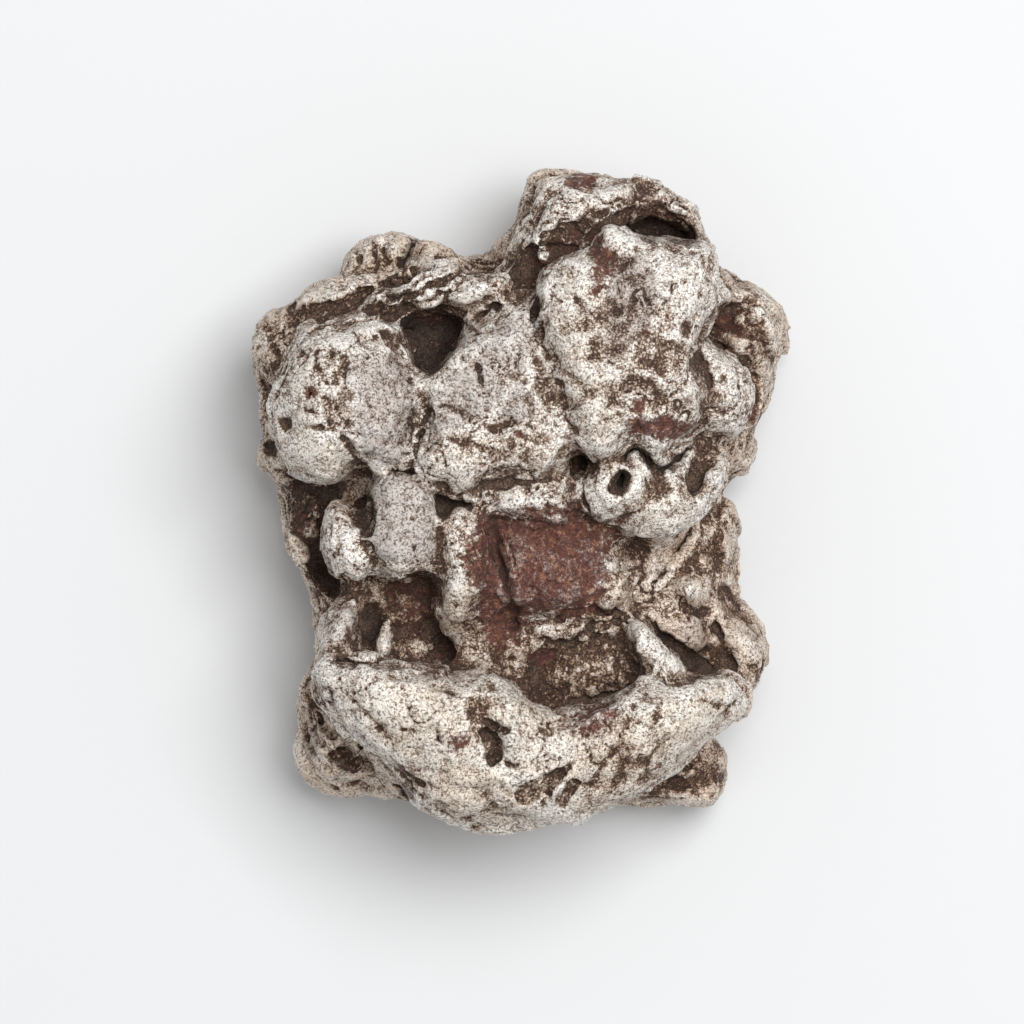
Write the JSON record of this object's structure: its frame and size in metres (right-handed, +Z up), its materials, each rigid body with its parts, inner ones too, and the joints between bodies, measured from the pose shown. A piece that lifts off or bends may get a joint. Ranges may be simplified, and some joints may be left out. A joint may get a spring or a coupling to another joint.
{
  "type": "meteorite",
  "caption": "Palm-sized iron meteorite, cleaned to pale grey metal with brown oxide left in its hollows, lying on its broad back",
  "frame": {"origin": "middle of the footprint, on the surface that the meteorite lies on", "axes": "+Z up through the knobbly front that the picture looks down on, +Y along the longest side towards the arch, +X to the right"},
  "size_m": [0.0544, 0.0664, 0.038],
  "materials": {
    "cleaned_metal": "satin"
  },
  "bodies": {
    "root": {"meteorite": "cleaned_metal"}
  },
  "joints": []
}
